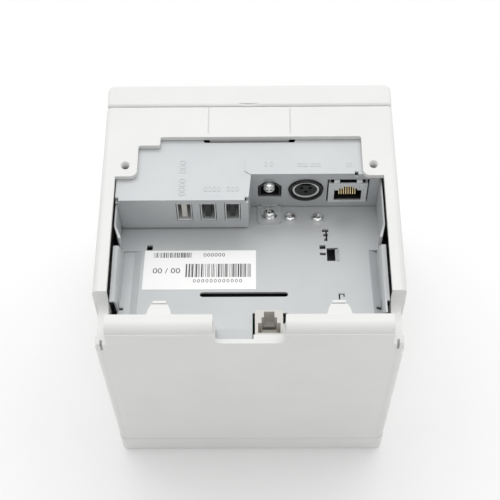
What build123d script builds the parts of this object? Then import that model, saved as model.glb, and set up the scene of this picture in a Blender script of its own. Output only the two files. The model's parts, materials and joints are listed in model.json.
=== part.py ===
from build123d import *
import os
from math import acos, atan2, cos, degrees, pi, radians, sin, sqrt, tan

# A compact 80 mm receipt printer, built as a cube and lying on the face opposite its connector bay.
# +Z is the way the bay opens, -Y is the plain rear wall, +Y is the roll paper cover.
# The origin is the centre of the resting face. Millimetres.

# ---- case
WIDTH = 127.0
HEIGHT = 127.0
REAR = -62.5
FRONT = 62.5
HALF = WIDTH / 2
WALL = 2.5
SEAM = 0.3
SPLIT_Z = 14.0
CASE_FRONT = 50.0
COVER_BACK = 50.5
COVER_LOW = 17.0
LIP_TOP = 12.0
SLOT_HALF = 42.0
CORNER_R = 4.0
TOP_EDGE_R = 2.3

# ---- connector bay
BAY_HALF = 57.6
BAY_FRONT = 33.0
BAY_REAR = -54.4
CORNER_FRONT = -43.4
PLATE_LOW = 124.7
BAR_CREASE = 123.9
BAR_LOW = 115.5
NOTCH_HALF = 14.6
NOTCH_Z = 116.6
SCREW_HOLE_X = 53.5
SCREW_HOLE_Y = 18.0
SCREW_HOLE_R = 1.6
LEFT_WALL_Y = 1.4
RIGHT_WALL_Y = 14.5
STEP_X = -0.5
STEP_BACK_X = 0.7
IO_TOP = 124.5
SHEET = 1.0
FLOOR_FRONT_Z = 99.8
FLOOR_FRONT_Y = 14.3
FLOOR_FALL = 0.1986
FLOOR_ANGLE = degrees(atan2(FLOOR_FALL, 1))
RAIL_TOP = 119.6
RAIL_OUT = 57.2
CHANNEL_IN = 46.7
CHANNEL_FRONT = -11.6
GUTTER_IN = 51.3
BOARD_LOW = 101.0
BOARD_TOP = 102.6

# ---- sockets
USB_X = (-28.1, -17.8, -7.3)
FLOOR_SCREWS = ((8.7, 8.2), (17.9, 7.3), (30.1, 6.8))
DIN_X = 24.7
DIN_Z = 113.0
RJ45_TOP = 118.2

# ---- paper path
ROLL_Y = -8.0
ROLL_Z = 54.5
BUCKET_R = 42.2
BUCKET_WALL = 1.3
BUCKET_HALF = 40.5
PLATEN_Y = 44.0
PLATEN_Z = 24.0
PLATEN_R = 6.0
SHAFT_R = 2.5
RUNNING = 0.05
HEAD_TILT = 30.0
HEAD_GAP = 0.3

# ---- mechanism
PLATE_IN = 42.6
PLATE_OUT = 43.8
GEAR_MODULE = 0.5
PLATEN_TEETH = 28
SMALL_TEETH = 14
BIG_TEETH = 36
PINION_TEETH = 12
GEAR_PLAY = 0.05
REDUCTION_Y = PLATEN_Y - GEAR_MODULE * (PLATEN_TEETH + SMALL_TEETH) / 2 - GEAR_PLAY
REDUCTION_Z = PLATEN_Z
MOTOR_ANGLE = 217.0
MOTOR_REACH = GEAR_MODULE * (BIG_TEETH + PINION_TEETH) / 2 + GEAR_PLAY
MOTOR_Y = REDUCTION_Y + MOTOR_REACH * cos(radians(MOTOR_ANGLE))
MOTOR_Z = REDUCTION_Z + MOTOR_REACH * sin(radians(MOTOR_ANGLE))
MOTOR_R = 12.0
HINGE_Y = 56.0
HINGE_Z = 122.0
HINGE_PIN_R = 1.5
COVER_SWEEP = 7.2
LATCH_Y = 27.0
LATCH_Z = 17.0
LATCH_PIN_Y = 46.5
LATCH_PIN_Z = 34.0
CUT_MODULE = 0.6
CUT_TEETH = 14
CUT_PINION_X = 47.0
CUT_PINION_Z = 8.0

# ---- controls on the front lip
KEY_X = (22.0, 34.0)
LENS_X = (-18.0, -8.0, 2.0, 12.0)
KEY_Z = 6.5


# ---- helpers
def block(x0, x1, y0, y1, z0, z1):
    return Pos((x0 + x1) / 2, (y0 + y1) / 2, (z0 + z1) / 2) * Box(x1 - x0, y1 - y0, z1 - z0)


def slab_x(points, x0, x1):
    """A (Y, Z) outline pushed along X."""
    return extrude(Plane.YZ.offset(x0) * Polygon(*points, align=None), amount=x1 - x0, dir=(1, 0, 0))


def slab_y(points, y0, y1):
    """An (X, Z) outline pushed along Y."""
    return extrude(Plane.XZ.offset(-y1) * Polygon(*points, align=None), amount=y1 - y0, dir=(0, -1, 0))


def slab_z(points, z0, z1):
    """An (X, Y) outline pushed along Z."""
    return extrude(Pos(0, 0, z0) * Polygon(*points, align=None), amount=z1 - z0, dir=(0, 0, 1))


def rod_x(y, z, radius, x0, x1):
    return extrude(Plane.YZ.offset(x0) * Pos(y, z) * Circle(radius), amount=x1 - x0)


def rod_y(x, z, radius, y0, y1):
    return extrude(Plane.XZ.offset(-y1) * Pos(x, z) * Circle(radius), amount=y1 - y0)


def rod_z(x, y, radius, z0, z1):
    return extrude(Pos(x, y, z0) * Circle(radius), amount=z1 - z0)


def both(shape):
    """The shape and its mirror image across the centre plane X = 0."""
    return Compound(children=[shape, mirror(shape, about=Plane.YZ)])


def join(first, *others):
    for other in others:
        first = first + other
    return first


def edges_along(shape, axis, test):
    return shape.edges().filter_by(axis).filter_by(lambda e: test(e.center()))


def floor_z(y):
    """Height of the bay floor's top face at a given Y."""
    return FLOOR_FRONT_Z + (FLOOR_FRONT_Y - y) * FLOOR_FALL


def on_floor(x, y):
    """The frame that lies on the sloping bay floor."""
    return Pos(x, y, floor_z(y)) * Rot(-FLOOR_ANGLE, 0, 0)


def involute(angle):
    return tan(angle) - angle


def gear_outline(teeth, module, tooth_at=0.0, play=0.10):
    """Spur gear outline with one tooth centred on the angle tooth_at, in degrees."""
    pitch = teeth * module / 2
    base = pitch * cos(radians(20))
    tip = pitch + 0.85 * module
    root = pitch - 1.2 * module
    half = pi / (2 * teeth) - play / (2 * pitch) + involute(radians(20))
    foot = max(base, root)
    radii = [foot + (tip - foot) * step / 4 for step in range(5)]
    points = []
    for index in range(teeth):
        centre = radians(tooth_at) + 2 * pi * index / teeth
        angles = [half - involute(acos(min(1.0, base / r))) for r in radii]
        points.append((root * cos(centre - angles[0]), root * sin(centre - angles[0])))
        if root < base:
            points.extend((r * cos(centre - a), r * sin(centre - a)) for r, a in zip(radii, angles))
            points.extend((r * cos(centre + a), r * sin(centre + a))
                          for r, a in zip(reversed(radii), reversed(angles)))
        else:
            points.extend((r * cos(centre - a), r * sin(centre - a))
                          for r, a in zip(radii[1:], angles[1:]))
            points.extend((r * cos(centre + a), r * sin(centre + a))
                          for r, a in zip(reversed(radii[1:]), reversed(angles[1:])))
        points.append((root * cos(centre + angles[0]), root * sin(centre + angles[0])))
    return Polygon(*points, align=None)


def gear_x(teeth, y, z, x0, x1, tooth_at):
    """A spur gear on an axis along X, with its tooth angle counted from +Y towards +Z."""
    outline = gear_outline(teeth, GEAR_MODULE, tooth_at)
    return extrude(Plane.YZ.offset(x0) * Pos(y, z) * outline, amount=x1 - x0)


def coil(radius, wire, turns, height):
    """An upright compression spring with its foot at the origin."""
    path = Helix(pitch=(height - wire) / turns, height=height - wire, radius=radius)
    start = Plane(origin=path @ 0, z_dir=path % 0)
    return Pos(0, 0, wire / 2) * sweep(start * Circle(wire / 2), path=path)


def pan_screw(head_r, head_h, shank_r, shank_l):
    """A cross-recessed pan screw with the underside of its head at the origin, head towards +Z."""
    head = Cylinder(head_r, head_h, align=(Align.CENTER, Align.CENTER, Align.MIN))
    head = fillet(head.edges().filter_by(GeomType.CIRCLE).sort_by(Axis.Z)[-1], head_h * 0.6)
    shank = Pos(0, 0, -shank_l / 2) * Cylinder(shank_r, shank_l)
    arm = Box(head_r * 1.15, head_r * 0.26, head_h)
    recess = Pos(0, 0, head_h) * (arm + Rot(0, 0, 90) * arm)
    return head + shank - recess


# ---- case and covers
def bay_opening():
    """The stepped opening that the case leaves over the connectors."""
    outline = Polygon(
        (48.8, BAY_FRONT), (-38.9, BAY_FRONT), (-38.9, 28.5), (-48.3, 28.5), (-48.3, 12.2),
        (-BAY_HALF, 12.2), (-BAY_HALF, BAY_REAR), (BAY_HALF, BAY_REAR), (BAY_HALF, 12.2),
        (48.8, 12.2), align=None)
    tips = [v for v in outline.vertices() if abs(v.Y - 12.2) < 0.1 and abs(v.X) < 50]
    outline = fillet(tips, 3.2)
    small = [v for v in outline.vertices() if v.Y > 25]
    outline = fillet(small, 0.8)
    return extrude(Pos(0, 0, PLATE_LOW - 1) * outline, amount=5)


def corner_cut():
    """The swept-down corner beside the rear bar, on the +X side."""
    with BuildPart() as part:
        with BuildSketch(Plane.YZ.offset(BAY_HALF)):
            with BuildLine():
                Line((-44, 128), (-44, 121))
                ThreePointArc((-44, 121), (-46, 117.6), (-50, 116.4))
                Line((-50, 116.4), (-64, 115.6))
                Line((-64, 115.6), (-64, 128))
                Line((-64, 128), (-44, 128))
            make_face()
        extrude(amount=8)
    return part.part


def rear_bar():
    """The rounded bar along the top of the rear wall, with its cable notch."""
    with BuildPart() as part:
        with BuildSketch(Plane.YZ.offset(-BAY_HALF)):
            with BuildLine():
                Line((BAY_REAR, BAR_LOW), (BAY_REAR, 126.6))
                Line((BAY_REAR, 126.6), (-54.8, HEIGHT))
                Line((-54.8, HEIGHT), (-57.2, HEIGHT))
                ThreePointArc((-57.2, HEIGHT), (-60.7, 126.1), (-62.2, BAR_CREASE))
                Line((-62.2, BAR_CREASE), (-62.2, BAR_LOW))
                Line((-62.2, BAR_LOW), (BAY_REAR, BAR_LOW))
            make_face()
        extrude(amount=2 * BAY_HALF)
    return part.part


def cover_tab(x):
    """A trapezoid tab that leans in from the rear bar, with a thin cap along its edge."""
    tab = slab_z([(x - 5.3, BAY_REAR - 1), (x + 5.3, BAY_REAR - 1), (x + 4.2, -51.6), (x + 3.2, -49.8),
                  (x - 3.2, -49.8), (x - 4.2, -51.6)], 123.6, 126.6)
    cap = block(x - 2.7, x + 2.7, -49.9, -48.2, 123.6, 126.4)
    groove = block(x - 3.5, x + 3.5, -49.9, -49.3, 125.0, HEIGHT)
    return join(tab, cap) - groove


def outer_case():
    shell = block(-HALF, HALF, REAR, CASE_FRONT, SPLIT_Z + SEAM, HEIGHT)
    shell = fillet(edges_along(shell, Axis.Z, lambda c: c.Y < 0), CORNER_R)
    shell = fillet(edges_along(shell, Axis.Y, lambda c: c.Z > 100), TOP_EDGE_R)
    shell = fillet(edges_along(shell, Axis.Z, lambda c: c.Y > 49), 0.9)
    cavity = block(-HALF + WALL, HALF - WALL, REAR + WALL, FRONT, 0, PLATE_LOW)
    shell = shell - cavity
    corner = block(BAY_HALF, HALF - WALL + 0.2, REAR + WALL, CORNER_FRONT, 108, PLATE_LOW + 0.2)
    shell = join(shell, corner, mirror(corner, about=Plane.YZ))
    shell = shell - block(-BAY_HALF, BAY_HALF, REAR - 1, BAY_REAR, BAR_CREASE, HEIGHT + 1)
    shell = shell - bay_opening()
    for side in (corner_cut(), mirror(corner_cut(), about=Plane.YZ)):
        shell = shell - side
    shell = join(shell, rear_bar(), cover_tab(-36.0), cover_tab(36.0))

    notch = block(-NOTCH_HALF, NOTCH_HALF, REAR - 1, BAY_REAR + 1, NOTCH_Z, HEIGHT + 2)
    notch = fillet(edges_along(notch, Axis.Y, lambda c: c.Z < 120), 3.4)
    shell = shell - notch - block(-13.9, 1.6, REAR + 2.0, BAY_REAR + 1, 112.5, NOTCH_Z + 1)
    shell = shell - block(1.5, 14.1, -58.5, BAY_REAR + 1, 112.5, NOTCH_Z + 1)

    # round relief of the front edge, which leaves room for the swinging cover
    shell = shell - rod_x(HINGE_Y, HINGE_Z, COVER_SWEEP, -HALF - 1, HALF + 1)
    # recess for the connector cover's wings at the rear corners
    wing = block(HALF - 1.7, HALF + 1, REAR - 1, -44.6, 104, 128)
    wing = wing - rod_y(60.0, 111.3, 2.4, REAR, -58.0) - block(57.6, 62.4, REAR, -58.0, 111.3, 115.0)
    bead = rod_y(60.0, 111.3, 2.3, REAR, -59.0) + block(57.7, 62.3, REAR, -59.0, 111.3, 115.0)
    shell = join(shell, bead, mirror(bead, about=Plane.YZ))
    loop_slit = block(59.4, 60.5, REAR - 1, REAR + 2.2, 110.8, 119.0)
    hooks = [block(HALF - 1.6, HALF + 1, y0, y1, 122.0, 125.0) for y0, y1 in
             ((26.4, 30.4), (34.6, 38.4), (-36.0, -32.6), (-42.6, -38.8))]
    for cutter in [wing, loop_slit] + hooks:
        shell = shell - cutter - mirror(cutter, about=Plane.YZ)

    for side in (-1, 1):
        x = side * SCREW_HOLE_X
        boss = rod_z(x, SCREW_HOLE_Y, 3.4, 121.6, PLATE_LOW + 0.1)
        shell = shell + boss - rod_z(x, SCREW_HOLE_Y, SCREW_HOLE_R, 117, 128)
        shell = shell - Pos(x, SCREW_HOLE_Y, HEIGHT - 0.35) * Cone(SCREW_HOLE_R, 2.1, 0.7)
    # two fine grooves mark off the strip's middle zone, and a rib runs down its bay edge
    for x in (-18, 18):
        shell = shell - block(x - 0.3, x + 0.3, 35.0, CASE_FRONT + 1, HEIGHT - 0.6, HEIGHT + 1)
    shell = shell + block(-17.4, 17.4, BAY_FRONT, BAY_FRONT + 1.2, 119.0, PLATE_LOW + 0.1)
    return shell


def base_panel():
    """The tray that closes the resting face and carries the front lip with its controls."""
    tray = block(-HALF, HALF, REAR, FRONT, 0, SPLIT_Z)
    for side in (-1, 1):
        x0, x1 = sorted((side * SLOT_HALF, side * HALF))
        tray = tray + block(x0, x1, CASE_FRONT + 0.5, FRONT, SPLIT_Z - 1, COVER_LOW - 0.5)
    tray = fillet(edges_along(tray, Axis.Z, lambda c: c.Y < 0 or c.Y > 60), 3.0)
    tray = fillet(tray.edges().filter_by(lambda e: abs(e.center().Z) < 0.01), 1.5)
    tray = tray - block(-HALF + WALL, HALF - WALL, REAR + WALL, FRONT - 2.0, WALL, SPLIT_Z - 1.7)
    tray = tray - block(-HALF + WALL, HALF - WALL, REAR + WALL, CASE_FRONT + 0.6, WALL, 30)
    for side in (-1, 1):
        x0, x1 = sorted((side * (SLOT_HALF + 1.6), side * (HALF - WALL)))
        tray = tray - block(x0, x1, CASE_FRONT, FRONT - 2.0, 3.0, COVER_LOW - 2.0)
    # paper slot between the lip and the cover
    tray = tray - block(-SLOT_HALF, SLOT_HALF, CASE_FRONT - 1, FRONT + 1, LIP_TOP, 30)
    # openings for the keys, the release button and the lights
    for x in KEY_X:
        tray = tray - block(x - 4.5, x + 4.5, FRONT - 3, FRONT + 1, 3.7, 9.3)
    tray = tray - block(-53.3, -40.7, FRONT - 3, FRONT + 1, 3.2, 9.8)
    for x in LENS_X:
        tray = tray - rod_y(x, KEY_Z, 1.25, FRONT - 3, FRONT + 1)
    return tray


def roll_cover():
    cover = block(-HALF, HALF, COVER_BACK, FRONT, COVER_LOW, HEIGHT)
    cover = fillet(edges_along(cover, Axis.Z, lambda c: c.Y > 60), 3.0)
    cover = fillet(edges_along(cover, Axis.Z, lambda c: c.Y < 51), 1.0)
    cover = fillet(cover.edges().filter_by(lambda e: e.center().Z > 126.9), 1.5)
    cover = cover - block(-61.3, 61.3, COVER_BACK - 1, FRONT - 2.2, COVER_LOW + 2.0, 125.2)
    # room for the fixed blade in the lower edge
    cover = cover - block(-41.3, 41.3, COVER_BACK - 1, 52.5, COVER_LOW - 1, COVER_LOW + 2.6)
    # thumb notch on the bay edge
    cover = cover - Pos(-0.4, COVER_BACK, HEIGHT + 15.4) * Rot(90, 0, 0) * Cylinder(16.1, 2.6)
    # ribs that hold the hinge pins, each side of a hinge bracket
    for x in (-55.6, -44.4, 44.4, 55.6):
        rib = slab_x([(60.5, 112), (60.5, 125.4), (53.4, 125.4), (52.4, 121.0), (56.0, 118.4)],
                     x - 1.2, x + 1.2)
        cover = cover + rib - rod_x(HINGE_Y, HINGE_Z, HINGE_PIN_R, x - 2, x + 2)
    # bosses for the liner's screws
    for x in (-30.0, 30.0):
        for z in (40.0, 105.0):
            cover = cover + rod_y(x, z, 2.6, 52.4, 60.5)
    return cover


def cover_liner():
    """The inner cover: a ribbed plate with two arms that carry the platen's bushes."""
    plate = block(-59.5, 59.5, 50.8, 52.3, 19.4, 118.0)
    for x in (-50.0, 50.0):
        plate = plate - block(x - 5.0, x + 5.0, 50, 53, 100.0, 119.0)
    plate = plate - block(-49.0, -43.9, 50, 53, 22.0, 36.5)
    for x in (-30.0, -10.0, 10.0, 30.0):
        plate = plate + block(x - 0.7, x + 0.7, 48.4, 50.9, 44.0, 92.0)
    plate = plate - block(43.9, 47.7, 50, 53, 15.0, 33.0)
    for side in (-1, 1):
        x0, x1 = sorted((side * 40.7, side * 42.2))
        arm = slab_x([(51, 19.6), (51, 34), (45, 31.0), (39.6, 28.6), (39.2, 22.6), (41.6, 19.6)], x0, x1)
        plate = plate + arm - rod_x(PLATEN_Y, PLATEN_Z, 4.0, x0 - 1, x1 + 1)
    ear = slab_x([(51, 28), (51, 40), (46.5, 37), (43.6, 34), (46.5, 31)], -50.4, -49.0)
    ear_in = slab_x([(51, 32), (51, 40), (46.5, 37), (43.6, 34), (46.5, 31)], -43.9, -42.5)
    plate = plate + ear + ear_in - rod_x(LATCH_PIN_Y, LATCH_PIN_Z, 1.5, -52, -40)
    return plate


def cover_hinge_pins():
    return both(rod_x(HINGE_Y, HINGE_Z, HINGE_PIN_R, 43.2, 56.8))


def hinge_brackets():
    """Goose-necked brackets that reach up inside the cover to its hinge pins."""
    neck = slab_x([(40.5, 98.2), (49.0, 98.2), (49.0, 111.6), (58.0, 111.6), (58.0, 121.0),
                   (54.2, 121.0), (54.2, 115.0), (46.4, 115.0), (46.4, 100.0), (40.5, 100.0)], 46.0, 54.0)
    eye = rod_x(HINGE_Y, HINGE_Z, 2.9, 46.0, 54.0)
    neck = neck + eye - rod_x(HINGE_Y, HINGE_Z, HINGE_PIN_R + RUNNING, 45, 55)
    return both(neck)


# ---- paper path
def roll_bucket():
    """The drop-in roll holder: a half-round trough with side cheeks, open to the cover."""
    outer = BUCKET_R + BUCKET_WALL
    half = BUCKET_HALF + BUCKET_WALL
    low_end = (26.0, ROLL_Z - sqrt(outer ** 2 - (26.0 - ROLL_Y) ** 2))
    solid = rod_x(ROLL_Y, ROLL_Z, outer, -half, half)
    solid = solid + block(-half, half, ROLL_Y, 49.0, ROLL_Z, ROLL_Z + outer)
    solid = solid + slab_x([(ROLL_Y, ROLL_Z), (36.4, ROLL_Z), (36.4, 34.0), (34.0, 28.2), low_end],
                           -half, half)
    trough = rod_x(ROLL_Y, ROLL_Z, BUCKET_R, -BUCKET_HALF, BUCKET_HALF)
    trough = trough + block(-BUCKET_HALF, BUCKET_HALF, ROLL_Y, 60.0, ROLL_Z, ROLL_Z + BUCKET_R)
    trough = trough + slab_x([(ROLL_Y, ROLL_Z + 1), (60, ROLL_Z + 1), (60, 20), (34.6, 26.2), (30.0, 29.2),
                              (25.0, 27.6)], -BUCKET_HALF, BUCKET_HALF)
    solid = solid - trough
    # window for the near-end lever in the left cheek
    solid = solid - block(-half - 1, -BUCKET_HALF + 1, -14.0, -2.0, 50.0, 59.0)
    return solid


def mechanism_frame():
    """Folded steel frame: two side plates joined under the print head."""
    side = block(PLATE_IN, PLATE_OUT, 12.0, 47.4, 4.2, 30.0)
    side = fillet(edges_along(side, Axis.X, lambda c: c.Z > 29 and c.Y < 20), 3.0)
    slot = slab_x([(PLATEN_Y, PLATEN_Z - 4.4), (48, PLATEN_Z - 5.2), (48, PLATEN_Z + 4.4),
                   (PLATEN_Y, PLATEN_Z + 4.2)], PLATE_IN - 1, PLATE_OUT + 1)
    slot = slot + rod_x(PLATEN_Y, PLATEN_Z, 4.2, PLATE_IN - 1, PLATE_OUT + 1)
    side = side - slot - rod_x(*head_point(-8.0, -3.0), 1.55, PLATE_IN - 1, PLATE_OUT + 1)
    frame = side + mirror(side, about=Plane.YZ) + block(-PLATE_OUT, PLATE_OUT, 12.0, 46.6, 3.0, 4.2)
    frame = frame - rod_x(REDUCTION_Y, REDUCTION_Z, 1.5, PLATE_IN - 1, PLATE_OUT + 1)
    frame = frame - rod_x(LATCH_Y, LATCH_Z, 1.5, -PLATE_OUT - 1, -PLATE_IN + 1)
    return frame


def head_point(along, out):
    """A (Y, Z) point in the print head's own axes: along the paper, and out towards the platen."""
    tilt = radians(HEAD_TILT)
    reach = PLATEN_R + HEAD_GAP
    origin_y = PLATEN_Y - reach * sin(tilt)
    origin_z = PLATEN_Z - reach * cos(tilt)
    return (origin_y + along * cos(tilt) + out * sin(tilt), origin_z - along * sin(tilt) + out * cos(tilt))


def head_slab(a0, a1, n0, n1, x0, x1):
    return slab_x([head_point(a0, n0), head_point(a1, n0), head_point(a1, n1), head_point(a0, n1)], x0, x1)


def thermal_head():
    """Ceramic heater strip with its glaze bead and driver covers."""
    return join(head_slab(-4.0, 4.6, -1.0, 0.0, -40.2, 40.2), head_slab(2.2, 4.4, -0.2, 0.4, -36.0, 36.0))


def head_heat_sink():
    sink = head_slab(-10.0, 4.6, -4.2, -1.0, -41.0, 41.0)
    for x in (-24.0, 24.0):
        sink = sink - head_slab(-7.0, 0.0, -5.0, -2.6, x - 9.0, x - 5.0)
        sink = sink - head_slab(-7.0, 0.0, -5.0, -2.6, x + 5.0, x + 9.0)
    y, z = head_point(-8.0, -3.0)
    return sink + rod_x(y, z, 1.5, -43.6, -40.9) + rod_x(y, z, 1.5, 40.9, 43.6)


def head_springs():
    """Two upright springs between the frame and the underside of the heat sink."""
    foot_z = 4.3
    seat_z = head_point(-1.5, -4.2)[1]
    y = head_point(-1.5, -4.2)[0]
    spring = coil(2.4, 0.7, 4, seat_z - foot_z - 1.9)
    return both(Pos(24.0, y, foot_z) * spring)


def platen_roller():
    return rod_x(PLATEN_Y, PLATEN_Z, PLATEN_R, -39.6, 39.6) - rod_x(PLATEN_Y, PLATEN_Z, SHAFT_R, -41, 41)


def platen_shaft():
    shaft = rod_x(PLATEN_Y, PLATEN_Z, SHAFT_R, -44.2, 47.4)
    return shaft


def platen_bushes():
    bush = rod_x(PLATEN_Y, PLATEN_Z, 4.0, 40.5, 44.0) - rod_x(PLATEN_Y, PLATEN_Z, SHAFT_R + RUNNING, 40, 45)
    return both(bush)


def platen_gear():
    gear = gear_x(PLATEN_TEETH, PLATEN_Y, PLATEN_Z, 44.4, 47.2, 180.0)
    return gear - rod_x(PLATEN_Y, PLATEN_Z, SHAFT_R, 44, 48)


def reduction_gear():
    gap = 180.0 / SMALL_TEETH
    small = gear_x(SMALL_TEETH, REDUCTION_Y, REDUCTION_Z, 44.4, 47.9, gap)
    big = gear_x(BIG_TEETH, REDUCTION_Y, REDUCTION_Z, 47.8, 50.4, MOTOR_ANGLE)
    return small + big - rod_x(REDUCTION_Y, REDUCTION_Z, 1.5 + RUNNING, 44, 51)


def gear_stud():
    return rod_x(REDUCTION_Y, REDUCTION_Z, 1.5, 42.6, 52.2)


def motor_pinion():
    """The feed motor's pinion on its shaft."""
    pinion = gear_x(PINION_TEETH, MOTOR_Y, MOTOR_Z, 47.8, 50.4, MOTOR_ANGLE + 180 + 180.0 / PINION_TEETH)
    return pinion + rod_x(MOTOR_Y, MOTOR_Z, 1.0, 50.3, 60.0)


def gear_bracket():
    """The outer gear plate, which carries the feed motor, on a leg back to the frame."""
    plate = block(51.0, 52.2, 8.0, 38.0, 4.2, 36.0)
    plate = fillet(edges_along(plate, Axis.X, lambda c: c.Z > 30), 4.0)
    plate = plate - rod_x(REDUCTION_Y, REDUCTION_Z, 1.5, 50, 53) - rod_x(MOTOR_Y, MOTOR_Z, 3.0, 50, 53)
    leg = block(44.0, 51.2, 8.0, 38.0, 3.0, 4.2)
    return plate + leg + block(51.0, 52.2, 8.0, 38.0, 3.0, 4.3)


def feed_motor():
    body = rod_x(MOTOR_Y, MOTOR_Z, MOTOR_R, 52.4, 60.4)
    body = fillet(body.edges().filter_by(GeomType.CIRCLE), 0.6)
    boss = rod_x(MOTOR_Y, MOTOR_Z, 2.9, 51.2, 52.6)
    block_out = block(53.0, 60.0, MOTOR_Y - MOTOR_R - 3.0, MOTOR_Y - MOTOR_R + 2.0, MOTOR_Z - 5, MOTOR_Z + 5)
    return body + boss + block_out - rod_x(MOTOR_Y, MOTOR_Z, 1.0 + RUNNING, 50, 60.1)


# ---- cutter
def cutter_blade():
    """The sliding blade with a shallow V edge and a rack at its right end."""
    rack_x = CUT_PINION_X - CUT_MODULE * CUT_TEETH / 2 - GEAR_PLAY
    pitch = pi * CUT_MODULE
    blade = slab_y([(-40.5, 4.6), (40.5, 4.6), (40.5, 11.5), (20.0, 10.9), (0.0, 9.9), (-20.0, 10.9),
                    (-40.5, 11.5)], 49.1, 50.1)
    bar = block(40.4, rack_x - 0.75, 49.1, 50.1, 4.0, 13.0)
    teeth = []
    for index in range(-2, 3):
        z = CUT_PINION_Z + (index + 0.5) * pitch
        teeth.append(slab_y([(rack_x - 0.76, z - 0.66), (rack_x - 0.76, z + 0.66), (rack_x + 0.5, z + 0.24),
                             (rack_x + 0.5, z - 0.24)], 49.1, 50.1))
    return join(blade, bar, *teeth)


def cutter_guide():
    """The fixed guide that the blade slides on, standing on the base."""
    plate = block(-41.0, 41.0, 47.7, 48.9, 2.7, 11.0)
    rails = block(-42.2, -40.9, 47.7, 50.2, 2.7, 14.0)
    feet = block(-36.0, 36.0, 47.7, 50.2, 2.7, 4.3)
    return join(plate, rails, feet)


def cutter_pinion():
    outline = gear_outline(CUT_TEETH, CUT_MODULE, 180.0)
    pinion = extrude(Plane.XZ.offset(-50.2) * Pos(CUT_PINION_X, CUT_PINION_Z) * outline, amount=1.2)
    return pinion + rod_y(CUT_PINION_X, CUT_PINION_Z, 0.8, 50.1, 59.6)


def cutter_motor():
    body = rod_y(CUT_PINION_X, CUT_PINION_Z, 4.6, 50.9, 60.0)
    body = fillet(body.edges().filter_by(GeomType.CIRCLE), 0.4)
    return body - rod_y(CUT_PINION_X, CUT_PINION_Z, 0.8 + RUNNING, 50, 59.8)


def fixed_blade():
    """The blade on the cover that the sliding blade shears past."""
    return block(-41.0, 41.0, 50.55, 51.4, 15.2, 19.2) + block(-41.0, 41.0, 51.3, 52.3, 17.0 + 2.05, 19.3)


# ---- latch and keys
def latch_lever():
    """A two-armed lever: the upper arm hooks under the cover's pin, the lower one meets the button."""
    hook = slab_x([(23.8, 16.0), (27.6, 13.8), (46.2, 29.0), (49.4, 30.0), (49.6, 31.85), (46.4, 31.4),
                   (43.4, 31.0), (27.0, 20.4), (24.2, 19.6)], -48.4, -44.8)
    toe = slab_x([(24.4, 14.8), (30.0, 18.0), (46.2, 9.6), (46.2, 6.6), (43.6, 6.6)], -48.4, -44.8)
    return hook + toe - rod_x(LATCH_Y, LATCH_Z, 1.5 + RUNNING, -49, -44)


def latch_pivot():
    return rod_x(LATCH_Y, LATCH_Z, 1.5, -49.2, -PLATE_IN) + rod_x(LATCH_Y, LATCH_Z, 2.6, -50.0, -49.1)


def latch_pin():
    return rod_x(LATCH_PIN_Y, LATCH_PIN_Z, 1.5, -50.4, -42.5)


def latch_spring():
    return Pos(-46.6, 35.0, 2.7) * coil(2.0, 0.6, 4, 6.0)


def release_button():
    cap = block(-53.0, -41.0, 59.6, FRONT - 0.1, 3.5, 9.5)
    cap = fillet(edges_along(cap, Axis.X, lambda c: c.Y > 62), 0.5)
    flange = block(-53.8, -40.2, 58.6, 59.7, 2.8, 10.2)
    stem = block(-48.4, -44.8, 46.5, 58.7, 4.0, 9.0)
    return cap + flange + stem


def key(x):
    cap = block(x - 4.2, x + 4.2, 59.4, FRONT - 0.2, 4.0, 9.0)
    cap = fillet(edges_along(cap, Axis.Z, lambda c: c.Y > 62), 0.6)
    return cap + block(x - 4.9, x + 4.9, 58.8, 59.5, 3.3, 9.7) + rod_y(x, 6.5, 1.2, 57.7, 58.9)


def power_button():
    return key(KEY_X[0])


def feed_button():
    return key(KEY_X[1])


def panel_board():
    return block(-22.0, 40.0, 54.0, 55.2, 2.8, 10.1)


def tact_switches():
    return Compound(children=[block(x - 3, x + 3, 55.2, 56.2, 3.5, 9.5) + rod_y(x, KEY_Z, 1.7, 56.1, 56.6)
                              for x in KEY_X])


def indicator_lenses():
    return Compound(children=[rod_y(x, KEY_Z, 1.15, 55.3, FRONT - 0.05) for x in LENS_X])


# ---- roll and cover sensors
def near_end_lever():
    hub = rod_z(-45.5, -30.0, 2.4, 49.7, 58.3) - rod_z(-45.5, -30.0, 1.2 + RUNNING, 49, 59)
    arm = block(-46.3, -44.6, -28.2, -5.0, 52.0, 57.0)
    nose = slab_z([(-44.7, -10.6), (-44.7, -5.0), (-40.3, -6.6), (-40.0, -8.0), (-40.3, -9.4)], 52.0, 57.0)
    return join(hub, arm, nose)


def near_end_bracket():
    pin = rod_z(-45.5, -30.0, 1.2, 46.6, 61.4)
    ears = [block(-48.0, -41.9, -32.6, -27.4, z, z + 2.8) for z in (46.6, 58.6)]
    back = block(-43.0, -41.9, -32.6, -27.4, 46.6, 61.4)
    return join(pin, back, *ears)


def near_end_sensor():
    body = block(-55.0, -49.6, -20.0, -10.0, 50.0, 59.0) - block(-53.2, -48.0, -18.0, -12.0, 53.0, 56.0)
    return body + block(-56.4, -54.9, -24.0, -6.0, 46.0, 63.0)


def cover_sensor():
    body = block(54.2, 58.6, 42.0, 49.4, 84.0, 94.0) - block(55.6, 57.2, 45.0, 50.0, 83.0, 95.0)
    return body + block(58.5, 60.2, 40.0, 49.4, 80.0, 97.0)


def paper_sensor():
    return block(-4.0, 4.0, 24.6, 29.6, 20.9, 25.4)


# ---- connector bay
def formed_strip(section, y0, y1):
    """A strip of the floor's sheet: its upper line is a list of (X, height above the floor) points."""
    outline = section + [(x, height - SHEET) for x, height in reversed(section)]
    run = (y1 - y0) / cos(radians(FLOOR_ANGLE))
    strip = extrude(Plane.XZ * Polygon(*outline, align=None), amount=run, dir=(0, -1, 0))
    return on_floor(0, y1) * strip


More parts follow.
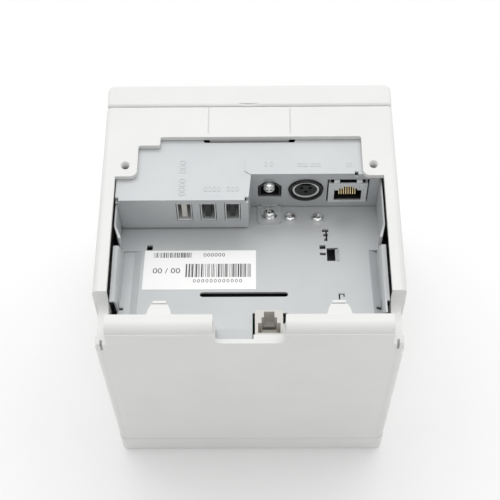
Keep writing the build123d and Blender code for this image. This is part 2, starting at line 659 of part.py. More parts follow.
def floor_hole(x0, x1, y0, y1):
    return on_floor((x0 + x1) / 2, (y0 + y1) / 2) * Box(x1 - x0, y1 - y0, 8)


def floor_sheet(y0, y1, x0, x1):
    """A flat stretch of the floor's sheet."""
    return slab_x([(y0, floor_z(y0)), (y1, floor_z(y1)), (y1, floor_z(y1) - SHEET),
                   (y0, floor_z(y0) - SHEET)], x0, x1)


def side_rail(side, foot, low, front, notch_x):
    """The floor's upturned side: a wall up from the floor, bent out into a level flange, flared at its front."""
    section = [(RAIL_OUT, RAIL_TOP), (55.2, RAIL_TOP), (54.4, RAIL_TOP - 1.2), (foot, low), (foot + SHEET, low),
               (55.3, RAIL_TOP - 1.7), (55.7, RAIL_TOP - SHEET), (RAIL_OUT, RAIL_TOP - SHEET)]
    rail = slab_y(section, -50.0, -14.9)
    rail = rail - block(53.8, 58.0, -18.0, -14.8, 112.0, 122.0) - block(notch_x, 58.0, -51.0, -44.6, 100.0, 122.0)
    flare = slab_z([(foot, -15.2), (56.5, -9.0), (56.5, front), (RAIL_OUT, front), (RAIL_OUT, -9.3),
                    (foot + SHEET + 0.1, -15.5)], low, RAIL_TOP + 1.9)
    rail = join(rail, flare)
    return rail if side > 0 else mirror(rail, about=Plane.YZ)


def bay_floor():
    """The sloping steel floor of the bay, with upturned sides, a channel and punched holes."""
    rear = -54.6
    lip_end = REAR + 2.2
    lip = slab_x([(rear + 0.2, floor_z(rear + 0.2)), (lip_end, 115.3), (lip_end, 115.3 - SHEET),
                  (rear + 0.2, floor_z(rear + 0.2) - SHEET)], -13.6, 13.8)
    channel = [(-54.9, -0.8), (-49.8, -0.8), (-CHANNEL_IN + 0.1, 0.0)]
    gutter = [(GUTTER_IN, 0.0), (55.0, -1.5)]
    tab = [(36.9, -0.1), (38.3, 0.75)]
    floor = join(floor_sheet(rear, FLOOR_FRONT_Y, -CHANNEL_IN, GUTTER_IN + 0.1), lip,
                 formed_strip(channel, -52.0, CHANNEL_FRONT),
                 floor_sheet(CHANNEL_FRONT - 0.3, FLOOR_FRONT_Y, -57.0, -CHANNEL_IN + 0.1),
                 formed_strip(gutter, -52.0, CHANNEL_FRONT),
                 floor_sheet(CHANNEL_FRONT - 0.3, FLOOR_FRONT_Y, GUTTER_IN, 57.0),
                 side_rail(-1, 54.0, 103.5, LEFT_WALL_Y - 0.5, 53.8),
                 side_rail(1, 54.6, 101.5, RIGHT_WALL_Y - 0.6, 56.0))
    # long slot with round ends
    slot = floor_hole(-19.6, 14.8, -37.6, -35.0)
    for x in (-19.6, 14.8):
        slot = slot + on_floor(x, -36.3) * Cylinder(1.3, 8)
    floor = floor - slot
    for hole in ((-44.7, -42.2, -11.5, -8.5), (30.3, 32.9, -11.2, -8.9), (30.3, 32.9, -14.7, -13.2),
                 (33.3, 37.0, -18.1, -10.5), (36.9, 38.2, -11.4, -10.5), (37.2, 39.7, -36.6, -36.0),
                 (37.2, 37.8, -39.2, -36.1), (39.2, 39.7, -37.8, -36.1)):
        floor = floor - floor_hole(*hole)
    floor = join(floor, formed_strip(tab, -18.1, -11.5))
    # punched marks: three plain bars joined by a stroke
    for row in range(3):
        y = -0.4 - 2.7 * row
        floor = floor - floor_hole(31.8 + 0.4 * row, 34.6 - 0.3 * row, y - 0.75, y + 0.75)
    floor = floor - floor_hole(33.2, 33.9, -6.0, -0.2)
    # forked relief cuts at the rear corners
    for side in (-1, 1):
        for x0, x1, y0, y1 in ((55.2, 58.0, -52.0, -41.0), (52.6, 56.2, -43.8, -42.4)):
            a, b = sorted((side * x0, side * x1))
            floor = floor - floor_hole(a, b, y0, y1)
    # clearance round the drawer jack and the floor screws
    floor = floor - block(1.2, 15.6, -60.5, -46.2, 105, 120)
    for x, y in FLOOR_SCREWS:
        floor = floor - on_floor(x, y) * Cylinder(1.6, 6)
    return floor


def io_housing():
    """The folded steel box behind the sockets: top, stepped front walls and sides."""
    low = IO_TOP - SHEET
    top = slab_z([(-57.2, LEFT_WALL_Y), (STEP_X, LEFT_WALL_Y), (STEP_BACK_X, RIGHT_WALL_Y), (56.2, RIGHT_WALL_Y),
                  (56.2, 48.0), (20.8, 48.0), (20.8, 34.0), (19.6, 31.7), (-19.6, 31.7), (-20.8, 34.0),
                  (-20.8, 48.0), (-57.2, 48.0)], low, IO_TOP)
    left = slab_y([(-57.2, low), (-57.2, 118.0), (-56.0, 103.0), (STEP_X, 103.0), (STEP_X, low)],
                  LEFT_WALL_Y, LEFT_WALL_Y + SHEET)
    right = block(STEP_BACK_X - SHEET, 56.2, RIGHT_WALL_Y, RIGHT_WALL_Y + SHEET, 99.0, low)
    step = slab_z([(STEP_X - SHEET, LEFT_WALL_Y), (STEP_X, LEFT_WALL_Y), (STEP_BACK_X, RIGHT_WALL_Y + 0.5),
                   (STEP_BACK_X - SHEET, RIGHT_WALL_Y + 0.5)], 98.0, low)
    below_floor = on_floor(0, 8) * Pos(0, 0, -4.9) * Box(10, 18, 10)
    side_l = block(-57.2, -56.2, LEFT_WALL_Y, 48.0, 104, low)
    side_r = block(55.2, 56.2, RIGHT_WALL_Y, 48.0, 104, low)
    flank = block(56.1, 57.2, RIGHT_WALL_Y, RIGHT_WALL_Y + SHEET, 99.0, 121.2)
    housing = join(top, left, right, step - below_floor, side_l, side_r, flank)
    # a raised pad along the right fold
    housing = housing + slab_z([(-1.2, 22.8), (-1.9, 22.2), (-1.9, 16.2), (STEP_BACK_X, RIGHT_WALL_Y),
                                (45.4, RIGHT_WALL_Y), (45.4, 22.8)], IO_TOP - 0.1, PLATE_LOW + 0.2)
    # bend reliefs at the corners of the folds
    for x, y in ((-56.6, 1.6), (-1.2, 1.6), (46.2, 14.6)):
        housing = housing - block(x - 0.8, x + 0.8, y - 0.8, y + 1.4, low - 0.9, IO_TOP + 1)
    # room for the case's two screw bosses
    for x in (-SCREW_HOLE_X, SCREW_HOLE_X):
        housing = housing - rod_z(x, SCREW_HOLE_Y, 3.8, low - 2.5, IO_TOP + 1)
    # three upright USB openings
    for x in USB_X:
        housing = housing - block(x - 3.5, x + 3.5, 0, 4, 108.7, 121.9)
    # slots in the step wall
    for z0, z1 in ((103.6, 106.0), (107.6, 111.0)):
        housing = housing - block(-3, 2, 4.4, 9.4, z0, z1)
    housing = housing - usb_b_profile(0.35, 13, 17) - rod_y(DIN_X, DIN_Z, 7.8, 13, 17)
    housing = housing - block(34.0, 52.2, 13, 17, 103.7, 120.6)
    # mounting tab lying on the floor
    tab = on_floor(8.7, 8.6) * Pos(0, 0, SHEET / 2 + 0.02) * Box(10.4, 10.8, SHEET)
    tab = fillet(edges_along(tab, Axis((0, 0, 0), (0, sin(radians(FLOOR_ANGLE)), cos(radians(FLOOR_ANGLE)))),
                             lambda c: c.Y < 8), 2.0)
    tab = tab - on_floor(*FLOOR_SCREWS[0]) * Cylinder(1.6, 6)
    return housing + tab + block(5.2, 12.4, 13.4, 14.9, 100.4, 101.4)


def usb_b_profile(grow, y0, y1):
    """The square USB outline with its two bevelled upper corners."""
    x0, x1, z0, z1 = 4.0 - grow, 13.7 + grow, 107.9 - grow, 118.2 + grow
    return slab_y([(x0, z0), (x1, z0), (x1, z1 - 2.8), (x1 - 2.6, z1), (x0 + 2.6, z1), (x0, z1 - 2.8)], y0, y1)


def main_board():
    board = block(-55.8, 54.8, 16.2, 40.0, BOARD_LOW, BOARD_TOP)
    board = board + block(-55.8, STEP_X - 1.6, 3.0, 16.3, 103.4, 105.0) + block(-55.8, -2.2, 15.6, 16.9,
                                                                               BOARD_LOW, 105.0)
    chips = [block(x, x + 9, y, y + 7, BOARD_TOP - 0.1, BOARD_TOP + 1.6) for x, y in
             ((-48, 24), (-30, 26), (-14, 22))]
    return join(board, *chips)


def drawer_board():
    return block(-8.0, 24.0, -59.4, -42.0, 99.6, 101.2)


def usb_a_shells():
    shells = []
    for x in USB_X:
        shell = block(x - 3.2, x + 3.2, 1.5, 15.4, 109.0, 121.6)
        shells.append(shell - block(x - 2.75, x + 2.75, 1.0, 14.6, 109.45, 121.2))
    return Compound(children=shells)


def usb_tongue(x):
    return block(x - 1.2, x + 1.1, 2.4, 14.6, 110.4, 120.6)


def usb_power_tongue():
    return usb_tongue(USB_X[0])


def usb_tongues():
    return Compound(children=[usb_tongue(x) for x in USB_X[1:]])


def usb_b_socket():
    body = usb_b_profile(0.0, 14.8, 30.0)
    mouth = usb_b_profile(-0.9, 14.0, 24.0)
    tongue = block(6.4, 11.3, 16.4, 24.1, 111.2, 114.4)
    return body - mouth + tongue


def pan_fasteners():
    turns = (40, 20, 65)
    places = [on_floor(x, y) * Rot(0, 0, turn) for (x, y), turn in zip(FLOOR_SCREWS, turns)]
    tab_screw = places[0] * Pos(0, 0, SHEET + 0.03)
    screw = pan_screw(2.7, 1.9, 1.4, 2.2)
    washer = Pos(0, 0, 0.4) * (Cylinder(3.6, 0.8) - Cylinder(1.5, 2))
    raised = Pos(0, 0, 0.81) * screw
    return Compound(children=[place * screw for place in places[1:]] + [tab_screw * raised + tab_screw * washer])


def usb_b_screw():
    screw = pan_screw(2.5, 2.4, 1.2, 1.0)
    return Pos(8.6, 13.3, 117.6) * Rot(90, 0, 0) * screw


def power_socket():
    """The round power socket's black ring, and its keyed insert."""
    ring = rod_y(DIN_X, DIN_Z, 7.4, 13.4, 28.0) - rod_y(DIN_X, DIN_Z, 6.5, 12, 26.0)
    insert = rod_y(DIN_X, DIN_Z, 4.9, 14.6, 26.2)
    for x, z in ((-1.9, 1.0), (1.9, 1.0), (0.0, -1.9)):
        insert = insert - rod_y(DIN_X + x, DIN_Z + z, 0.85, 14, 24)
    insert = insert - block(DIN_X - 2.6, DIN_X + 2.6, 14, 22, DIN_Z + 2.9, DIN_Z + 4.4)
    return ring + insert


def power_socket_shield():
    return rod_y(DIN_X, DIN_Z, 5.9, 14.2, 25.6) - rod_y(DIN_X, DIN_Z, 5.0, 12, 27.0)


def ethernet_shield():
    body = block(34.6, 51.6, 13.8, 33.0, 104.0, RJ45_TOP)
    body = body - block(35.6, 50.6, 14.6, 32.0, 105.0, RJ45_TOP + 1.0)
    opening = slab_y([(37.2, 105.4), (49.2, 105.4), (49.2, 113.2), (47.2, 113.2), (47.2, 114.6), (45.4, 114.6),
                      (45.4, 116.0), (41.0, 116.0), (41.0, 114.6), (39.2, 114.6), (39.2, 113.2),
                      (37.2, 113.2)], 13, 15)
    return body - opening


def ethernet_insert():
    body = block(35.9, 50.3, 14.8, 31.6, 105.2, RJ45_TOP - 0.3)
    opening = slab_y([(37.0, 105.6), (49.4, 105.6), (49.4, 113.4), (47.4, 113.4), (47.4, 114.8), (45.6, 114.8),
                      (45.6, 116.2), (40.8, 116.2), (40.8, 114.8), (39.0, 114.8), (39.0, 113.4),
                      (37.0, 113.4)], 14, 29)
    return body - opening


def ethernet_contacts():
    wires = []
    for index in range(8):
        x = 43.2 + (index - 3.5) * 1.02
        wires.append(slab_x([(16.2, 106.6), (26.2, 114.2), (26.0, 114.6), (16.0, 107.1)], x - 0.24, x + 0.24))
    return Compound(children=wires)


def ethernet_light_pipes():
    return Compound(children=[block(x - 1.2, x + 1.2, 13.9, 28.0, RJ45_TOP + 0.3, RJ45_TOP + 1.7)
                              for x in (38.1, 47.9)])


def drawer_jack():
    """The upright modular jack for the cash drawer, with its stepped key opening."""
    body = block(2.2, 13.7, -58.2, -46.6, 101.4, 115.3)
    steps = [(12.6, -52.6), (11.2, -52.6), (11.2, -50.0), (10.2, -50.0), (10.2, -47.4)]
    outline = [(3.5, -57.1), (12.6, -57.1)] + steps + [(16.1 - x, y) for x, y in reversed(steps)]
    body = body - slab_z(outline, 107.0, 117) - block(5.2, 10.9, -57.1, -55.6, 103.0, 107.1)
    return body - block(5.2, 10.9, -51.4, -50.1, 103.0, 107.1)


def drawer_jack_contacts():
    return Compound(children=[block(x - 0.25, x + 0.25, -57.05, -56.6, 103.5, 109.5)
                              for x in [8.05 + (index - 2.5) * 1.02 for index in range(6)]])


def serial_label():
    return on_floor(-21.35, -22.8) * Pos(0, 0, 0.12) * Box(48.1, 22.2, 0.16)


PARTS = {
    "outer_case": outer_case, "base_panel": base_panel, "roll_cover": roll_cover,
    "cover_liner": cover_liner, "cover_hinge_pins": cover_hinge_pins, "hinge_brackets": hinge_brackets,
    "roll_bucket": roll_bucket, "mechanism_frame": mechanism_frame, "gear_bracket": gear_bracket,
    "thermal_head": thermal_head, "head_heat_sink": head_heat_sink, "head_springs": head_springs,
    "platen_roller": platen_roller, "platen_shaft": platen_shaft, "platen_bushes": platen_bushes,
    "platen_gear": platen_gear, "reduction_gear": reduction_gear, "gear_stud": gear_stud,
    "motor_pinion": motor_pinion, "feed_motor": feed_motor, "cutter_blade": cutter_blade,
    "cutter_guide": cutter_guide, "cutter_pinion": cutter_pinion, "cutter_motor": cutter_motor,
    "fixed_blade": fixed_blade, "latch_lever": latch_lever, "latch_pivot": latch_pivot,
    "latch_pin": latch_pin, "latch_spring": latch_spring, "release_button": release_button,
    "power_button": power_button, "feed_button": feed_button, "panel_board": panel_board,
    "tact_switches": tact_switches, "indicator_lenses": indicator_lenses,
    "near_end_lever": near_end_lever, "near_end_bracket": near_end_bracket,
    "near_end_sensor": near_end_sensor, "cover_sensor": cover_sensor, "paper_sensor": paper_sensor,
    "bay_floor": bay_floor, "io_housing": io_housing, "main_board": main_board,
    "drawer_board": drawer_board, "usb_a_shells": usb_a_shells, "usb_power_tongue": usb_power_tongue,
    "usb_tongues": usb_tongues, "usb_b_socket": usb_b_socket, "pan_fasteners": pan_fasteners,
    "usb_b_screw": usb_b_screw, "power_socket": power_socket, "power_socket_shield": power_socket_shield,
    "ethernet_shield": ethernet_shield, "ethernet_insert": ethernet_insert,
    "ethernet_contacts": ethernet_contacts, "ethernet_light_pipes": ethernet_light_pipes,
    "drawer_jack": drawer_jack, "drawer_jack_contacts": drawer_jack_contacts, "serial_label": serial_label,
}

os.makedirs("parts", exist_ok=True)
for node, make in PARTS.items():
    export_step(make(), f"parts/{node}.step")
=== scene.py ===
import json
import math
import random

import bmesh
import bpy
from mathutils import Matrix, Vector

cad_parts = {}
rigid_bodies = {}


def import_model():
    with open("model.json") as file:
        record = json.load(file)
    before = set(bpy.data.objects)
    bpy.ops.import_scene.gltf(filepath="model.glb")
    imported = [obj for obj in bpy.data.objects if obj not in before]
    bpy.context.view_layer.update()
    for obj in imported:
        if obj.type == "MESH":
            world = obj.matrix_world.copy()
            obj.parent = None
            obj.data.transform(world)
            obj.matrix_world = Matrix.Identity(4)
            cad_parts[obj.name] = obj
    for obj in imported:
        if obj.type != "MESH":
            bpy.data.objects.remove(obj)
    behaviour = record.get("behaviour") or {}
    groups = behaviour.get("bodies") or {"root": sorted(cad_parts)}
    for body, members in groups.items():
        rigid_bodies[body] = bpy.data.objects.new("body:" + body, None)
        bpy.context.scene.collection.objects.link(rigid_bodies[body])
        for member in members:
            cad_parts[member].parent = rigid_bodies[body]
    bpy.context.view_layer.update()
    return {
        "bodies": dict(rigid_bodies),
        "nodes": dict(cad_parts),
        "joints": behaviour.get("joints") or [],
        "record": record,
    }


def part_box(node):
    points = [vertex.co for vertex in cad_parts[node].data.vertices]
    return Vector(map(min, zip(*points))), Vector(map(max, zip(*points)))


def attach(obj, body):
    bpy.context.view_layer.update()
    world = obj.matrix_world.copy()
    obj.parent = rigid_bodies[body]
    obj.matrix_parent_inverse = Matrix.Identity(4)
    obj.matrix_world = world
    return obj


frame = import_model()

# Receipt printer, looked down on from above its plain rear wall, with its connector bay open upwards.
# Metres, in the CAD frame: +Z is the way the bay opens, -Y the rear wall, +Y the roll paper cover.

MM = 0.001
NODES = frame["nodes"]
SLOT_OF = {part["node"]: part["material_slot"] for part in frame["record"]["subparts"]}
NOISE_ROUGHNESS = 0.55
NOISE_LOW = 0.3
NOISE_HIGH = 0.7


# ---------------------------------------------------------------- material helpers
def add_node(tree, kind, **settings):
    node = tree.nodes.new(kind)
    for key, value in settings.items():
        setattr(node, key, value)
    return node


def object_coordinates(tree, stretch=(1, 1, 1)):
    """The piece's own coordinates in metres, stretched for grain that runs one way."""
    coordinates = add_node(tree, "ShaderNodeTexCoord")
    mapping = add_node(tree, "ShaderNodeMapping")
    mapping.inputs["Scale"].default_value = stretch
    tree.links.new(coordinates.outputs["Object"], mapping.inputs["Vector"])
    return mapping.outputs["Vector"]


def noise(tree, vector, scale, detail=3.0):
    node = add_node(tree, "ShaderNodeTexNoise")
    node.inputs["Scale"].default_value = scale
    node.inputs["Detail"].default_value = detail
    node.inputs["Roughness"].default_value = NOISE_ROUGHNESS
    tree.links.new(vector, node.inputs["Vector"])
    return node.outputs["Fac"]


def ramp(tree, value, low, high):
    """Noise values from NOISE_LOW to NOISE_HIGH turned into the range low to high."""
    node = add_node(tree, "ShaderNodeMapRange")
    node.inputs["From Min"].default_value = NOISE_LOW
    node.inputs["From Max"].default_value = NOISE_HIGH
    node.inputs["To Min"].default_value = low
    node.inputs["To Max"].default_value = high
    tree.links.new(value, node.inputs["Value"])
    return node.outputs["Result"]


def blend_colours(tree, value, first, second):
    node = add_node(tree, "ShaderNodeMix", data_type="RGBA")
    colour_inputs = [socket for socket in node.inputs if socket.type == "RGBA"]
    colour_inputs[0].default_value = (*first, 1)
    colour_inputs[1].default_value = (*second, 1)
    tree.links.new(value, node.inputs["Factor"])
    return [socket for socket in node.outputs if socket.type == "RGBA"][0]


def surface(name, first, second, rough, grain, metallic=0.0, spread=40.0, stretch=(1, 1, 1)):
    """A principled material with mottled colour, varying roughness and a fine bump.
    grain is (scale, bump strength, bump height in metres)."""
    material = bpy.data.materials.new(name)
    material.use_nodes = True
    tree = material.node_tree
    shade = tree.nodes["Principled BSDF"]
    vector = object_coordinates(tree, stretch)
    cloud = noise(tree, vector, spread)
    colour = blend_colours(tree, ramp(tree, cloud, 0.0, 1.0), first, second)
    tree.links.new(colour, shade.inputs["Base Color"])
    speckle = noise(tree, vector, grain[0], detail=2.0)
    tree.links.new(ramp(tree, speckle, rough[0], rough[1]), shade.inputs["Roughness"])
    bump = add_node(tree, "ShaderNodeBump")
    bump.inputs["Strength"].default_value = grain[1]
    bump.inputs["Distance"].default_value = grain[2]
    tree.links.new(speckle, bump.inputs["Height"])
    tree.links.new(bump.outputs["Normal"], shade.inputs["Normal"])
    shade.inputs["Metallic"].default_value = metallic
    return material


def make_materials():
    """One material for each material slot of the record."""
    return {
        "case_plastic": surface("warm_white_plastic", (0.772, 0.776, 0.758), (0.80, 0.804, 0.788),
                                (0.36, 0.46), (5200.0, 0.22, 0.00003)),
        "steel_sheet": surface("zinc_plated_sheet", (0.545, 0.562, 0.572), (0.57, 0.585, 0.594), (0.38, 0.48),
                               (1500.0, 0.10, 0.00002), metallic=0.3, spread=55.0),
        "steel_bright": surface("ground_steel", (0.60, 0.60, 0.60), (0.70, 0.70, 0.70), (0.20, 0.34),
                                (2500.0, 0.03, 0.000003), metallic=1.0, stretch=(0.15, 1, 1)),
        "chrome": surface("bright_plated_screw", (0.78, 0.78, 0.78), (0.86, 0.86, 0.85), (0.12, 0.24),
                          (1800.0, 0.10, 0.00001), metallic=1.0),
        "black_plastic": surface("black_plastic", (0.010, 0.010, 0.011), (0.018, 0.018, 0.019), (0.34, 0.48),
                                 (5200.0, 0.25, 0.00003)),
        "grey_plastic": surface("dark_grey_plastic", (0.050, 0.053, 0.056), (0.066, 0.069, 0.073),
                                (0.40, 0.52), (4200.0, 0.30, 0.00004)),
        "beige_plastic": surface("beige_plastic", (0.62, 0.605, 0.565), (0.66, 0.645, 0.605), (0.40, 0.50),
                                 (4200.0, 0.20, 0.00002)),
        "gear_plastic": surface("acetal", (0.72, 0.69, 0.60), (0.78, 0.76, 0.68), (0.28, 0.38),
                                (3000.0, 0.10, 0.00002)),
        "platen_rubber": surface("platen_rubber", (0.016, 0.016, 0.017), (0.026, 0.026, 0.028), (0.62, 0.78),
                                 (3500.0, 0.35, 0.00004)),
        "ceramic": surface("glazed_ceramic", (0.10, 0.045, 0.025), (0.14, 0.065, 0.04), (0.10, 0.2),
                           (2000.0, 0.05, 0.00001)),
        "aluminium": surface("extruded_aluminium", (0.66, 0.67, 0.68), (0.72, 0.73, 0.74), (0.30, 0.42),
                             (2500.0, 0.15, 0.00002), metallic=1.0, stretch=(0.1, 1, 1)),
        "motor_can": surface("plated_motor_can", (0.42, 0.43, 0.44), (0.50, 0.51, 0.52), (0.30, 0.42),
                             (2200.0, 0.12, 0.00002), metallic=0.8),
        "circuit_board": surface("green_solder_mask", (0.010, 0.085, 0.035), (0.016, 0.115, 0.048),
                                 (0.22, 0.34), (900.0, 0.20, 0.00005), spread=300.0),
        "brass": surface("gold_plated_contact", (0.72, 0.57, 0.33), (0.80, 0.65, 0.42), (0.22, 0.34),
                         (2200.0, 0.08, 0.00001), metallic=1.0),
        "lens": surface("frosted_lens", (0.78, 0.80, 0.80), (0.86, 0.88, 0.88), (0.25, 0.4),
                        (1800.0, 0.10, 0.00002)),
        "paper": surface("label_paper", (0.96, 0.96, 0.955), (0.97, 0.97, 0.965), (0.55, 0.7),
                         (3500.0, 0.15, 0.00002)),
    }


MATERIALS = make_materials()
BRIGHT_TIN = surface("bright_tin_plate", (0.74, 0.75, 0.75), (0.82, 0.83, 0.83), (0.26, 0.36),
                     (1500.0, 0.10, 0.00002), metallic=0.45)
TINNED_NODES = ("usb_a_shells", "ethernet_shield", "power_socket_shield")


# ---------------------------------------------------------------- CAD nodes: materials and softened edges
# widths in millimetres, angle in degrees
SOFT_EDGES = {
    "outer_case": 0.35, "base_panel": 0.35, "roll_cover": 0.35, "cover_liner": 0.3, "roll_bucket": 0.3,
    "bay_floor": 0.18, "io_housing": 0.25, "serial_label": 0.0,
}
SMALL_PART_EDGE = 0.12
WELD_REACH = 0.002 * MM
EDGE_ANGLE = 40


def finish_cad_nodes():
    """Give each node its material and, apart from the label, slightly rounded edges."""
    for name, piece in NODES.items():
        piece.data.materials.clear()
        piece.data.materials.append(BRIGHT_TIN if name in TINNED_NODES else MATERIALS[SLOT_OF[name]])
        weld = piece.modifiers.new("weld", "WELD")
        weld.merge_threshold = WELD_REACH
        width = SOFT_EDGES.get(name, SMALL_PART_EDGE) * MM
        if width:
            bevel = piece.modifiers.new("soft_edges", "BEVEL")
            bevel.width = width
            bevel.segments = 2
            bevel.limit_method = "ANGLE"
            bevel.angle_limit = math.radians(EDGE_ANGLE)
            bevel.harden_normals = False
            bevel.use_clamp_overlap = True


finish_cad_nodes()


# ---------------------------------------------------------------- added pieces
FLOOR_SLOPE = 0.1986
FLOOR_TILT = math.atan(FLOOR_SLOPE)
LABEL_THICKNESS = 0.16 * MM
INK_HEIGHT = 0.02 * MM
MARK_HEIGHT = 0.14 * MM
PLATE_ABOVE_USB = 2.9 * MM
PAD_RISE = 0.4 * MM
INK = surface("printing_ink", (0.055, 0.055, 0.058), (0.085, 0.085, 0.09), (0.45, 0.6),
              (4000.0, 0.1, 0.00001))


def add_piece(name, mesh, material, body):
    """A piece that rides on a body and carries the given material."""
    piece = bpy.data.objects.new(name, mesh)
    bpy.context.scene.collection.objects.link(piece)
    piece.data.materials.clear()
    piece.data.materials.append(material)
    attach(piece, body)


def box_centre(node):
    low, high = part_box(node)
    return (Vector(low) + Vector(high)) / 2


def label_frame():
    """The frame on top of the label: +X to the right, +Y to the label's upper edge, origin at its centre."""
    tilt = Matrix.Rotation(-FLOOR_TILT, 4, "X")
    lift = Matrix.Translation((0, 0, LABEL_THICKNESS / 2))
    return Matrix.Translation(box_centre("serial_label")) @ tilt @ lift


def bars_mesh(name, count, width, height, frame, seed):
    """Upright printed bars of random widths inside a width by height field, as one thin mesh."""
    rng = random.Random(seed)
    steps = [(rng.choice((1, 1, 2, 3)), rng.choice((1, 1, 2, 2, 3))) for _ in range(count)]
    unit = width / sum(bar + gap for bar, gap in steps)
    mesh = bmesh.new()
    left = -width / 2
    for bar, gap in steps:
        centre = Matrix.Translation((left + bar * unit / 2, 0, INK_HEIGHT / 2))
        size = Matrix.Diagonal((bar * unit, height, INK_HEIGHT, 1))
        bmesh.ops.create_cube(mesh, size=1, matrix=frame @ centre @ size)
        left += (bar + gap) * unit
    data = bpy.data.meshes.new(name)
    mesh.to_mesh(data)
    mesh.free()
    return data


def text_mesh(name, words, size, thickness, frame, spacing=1.0):
    """A row of figures centred on the frame's origin, as a mesh of the given thickness."""
    curve = bpy.data.curves.new(name, "FONT")
    curve.body = words
    curve.size = size
    curve.space_character = spacing
    curve.align_x = "CENTER"
    curve.align_y = "CENTER"
    curve.extrude = thickness / 2
    curve.resolution_u = 3
    holder = bpy.data.objects.new(name, curve)
    bpy.context.scene.collection.objects.link(holder)
    graph = bpy.context.evaluated_depsgraph_get()
    data = bpy.data.meshes.new_from_object(holder.evaluated_get(graph))
    bpy.data.objects.remove(holder)
    data.transform(frame @ Matrix.Translation((0, 0, thickness / 2)))
    return data


def print_label():
    """Two bar rows with rows of zeros beside and under them."""
    top = label_frame()
    # name: bars, width and height, centre on the label, seed
    bar_rows = {
        "label_bars_small": (26, (16.6, 2.9), (-11.7, 8.4), 3),
        "label_bars_large": (40, (28.0, 7.5), (8.0, -0.45), 11),
    }
    for name, (count, (width, height), (x, y), seed) in bar_rows.items():
        place = top @ Matrix.Translation((x * MM, y * MM, 0))
        mesh = bars_mesh(name, count, width * MM, height * MM, place, seed)
        add_piece(name, mesh, INK, "printer")
    # name: figures, size, letter spacing, centre on the label
    rows = {
        "label_zeros_top": ("000000", 2.9, 1.10, (6.0, 8.4)),
        "label_zeros_left": ("00 / 00", 4.2, 1.0, (-14.2, -0.7)),
        "label_zeros_low": ("000000000000", 2.7, 1.32, (7.7, -6.4)),
    }
    for name, (words, size, spacing, (x, y)) in rows.items():
        place = top @ Matrix.Translation((x * MM, y * MM, 0))
        mesh = text_mesh(name, words, size * MM, INK_HEIGHT, place, spacing)
        add_piece(name, mesh, INK, "printer")


def emboss_plate():
    """Faint raised figures on the socket plate, where each socket's name would stand."""
    plate_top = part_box("usb_a_shells")[1][2] + PLATE_ABOVE_USB
    # name: figures, size, centre on the plate, turn in degrees, height above the plate
    marks = {
        "mark_left": ("0000  000", 4.6, (-28.6, 13.0), 90, 0.0),
        "mark_usb_a": ("0000  000", 3.8, (-12.0, 7.0), 0, 0.0),
        "mark_usb_b": ("0 0", 3.4, (8.4, 19.6), 0, PAD_RISE),
        "mark_power": ("000 000", 3.2, (25.8, 19.2), 0, PAD_RISE),
        "mark_network": ("00", 3.0, (43.2, 19.0), 0, PAD_RISE),
    }
    for name, (words, size, (x, y), turn, rise) in marks.items():
        spin = Matrix.Rotation(math.radians(turn), 4, "Z")
        place = Matrix.Translation((x * MM, y * MM, plate_top + rise)) @ spin
        mesh = text_mesh(name, words, size * MM, MARK_HEIGHT, place)
        add_piece(name, mesh, MATERIALS["steel_sheet"], "printer")


print_label()
emboss_plate()


# ---------------------------------------------------------------- stage, light and camera
# The world's strength on either side, and where along Y of the direction it changes.
CAMERA_SIDE = 0.42
FAR_SIDE = 1.05
FALL_START = -0.75
FALL_END = 0.55
STAGE_REACH = 12.0
# name: place and size in metres, power in watts
LIGHTS = {
    "top_softbox": ((0.0, 0.30, 1.05), (1.3, 0.9), 3.4),
    "front_fill": ((0.0, -0.9, 0.95), (0.9, 0.5), 1.8),
}
LIGHT_TARGET = (0, 0, 0.10)
# Place in millimetres; pitch down, yaw and roll in degrees.
CAMERA_PLACE = (3.81, -258.70, 512.06)
CAMERA_ANGLES = (59.26, -0.93, -1.06)
CAMERA_LENS = 79.02
CAMERA_SENSOR = 36.0
CAMERA_SHIFT = (0.001, 0.02)
CAMERA_NEAR = 0.01


def make_stage():
    mesh = bpy.data.meshes.new("studio_floor")
    corners = [(x * STAGE_REACH, y * STAGE_REACH, 0) for x, y in ((-1, -1), (1, -1), (1, 1), (-1, 1))]
    mesh.from_pydata(corners, [], [(0, 1, 2, 3)])
    floor = bpy.data.objects.new("studio_floor", mesh)
    bpy.context.scene.collection.objects.link(floor)
    pale = surface("pale_floor", (0.95, 0.95, 0.95), (0.965, 0.965, 0.965), (0.6, 0.7), (300.0, 0.05, 0.0001),
                   spread=3.0)
    floor.data.materials.append(pale)


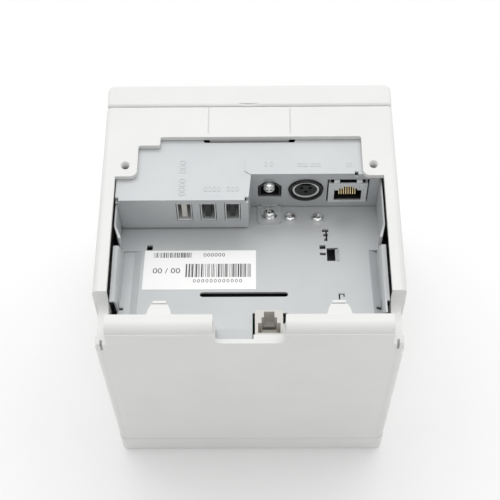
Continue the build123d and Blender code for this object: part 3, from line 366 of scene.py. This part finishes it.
def area_light(name, place, size, power):
    light = bpy.data.lights.new(name, "AREA")
    light.shape = "RECTANGLE"
    light.size, light.size_y = size
    light.energy = power
    lamp = bpy.data.objects.new(name, light)
    bpy.context.scene.collection.objects.link(lamp)
    lamp.location = place
    lamp.rotation_euler = (Vector(LIGHT_TARGET) - Vector(place)).to_track_quat("-Z", "Y").to_euler()


def make_world():
    """A white studio, brighter behind the printer than on the camera's side."""
    world = bpy.data.worlds.new("studio")
    bpy.context.scene.world = world
    world.use_nodes = True
    tree = world.node_tree
    tree.nodes["Background"].inputs["Color"].default_value = (1, 1, 1, 1)
    direction = add_node(tree, "ShaderNodeTexCoord")
    split = add_node(tree, "ShaderNodeSeparateXYZ")
    tree.links.new(direction.outputs["Generated"], split.inputs["Vector"])
    fall = add_node(tree, "ShaderNodeMapRange", interpolation_type="SMOOTHSTEP")
    fall.inputs["From Min"].default_value = FALL_START
    fall.inputs["From Max"].default_value = FALL_END
    fall.inputs["To Min"].default_value = CAMERA_SIDE
    fall.inputs["To Max"].default_value = FAR_SIDE
    tree.links.new(split.outputs["Y"], fall.inputs["Value"])
    tree.links.new(fall.outputs["Result"], tree.nodes["Background"].inputs["Strength"])


def make_lights():
    for name, (place, size, power) in LIGHTS.items():
        area_light(name, place, size, power)
    bpy.context.scene.view_settings.view_transform = "Standard"


def make_camera():
    """Close and steep, from the rear-wall side."""
    pitch, yaw, roll = (math.radians(angle) for angle in CAMERA_ANGLES)
    forward = Vector((math.sin(yaw) * math.cos(pitch), math.cos(yaw) * math.cos(pitch), -math.sin(pitch)))
    right = Vector((math.cos(yaw), -math.sin(yaw), 0.0))
    up = right.cross(forward)
    right, up = (right * math.cos(roll) + up * math.sin(roll), up * math.cos(roll) - right * math.sin(roll))
    camera_data = bpy.data.cameras.new("camera")
    camera_data.lens = CAMERA_LENS
    camera_data.sensor_width = CAMERA_SENSOR
    camera_data.shift_x, camera_data.shift_y = CAMERA_SHIFT
    camera_data.clip_start = CAMERA_NEAR
    camera = bpy.data.objects.new("camera", camera_data)
    bpy.context.scene.collection.objects.link(camera)
    turn = Matrix((right, up, -forward)).transposed().to_4x4()
    camera.matrix_world = Matrix.Translation(Vector(CAMERA_PLACE) * MM) @ turn
    bpy.context.scene.camera = camera


make_stage()
make_world()
make_lights()
make_camera()
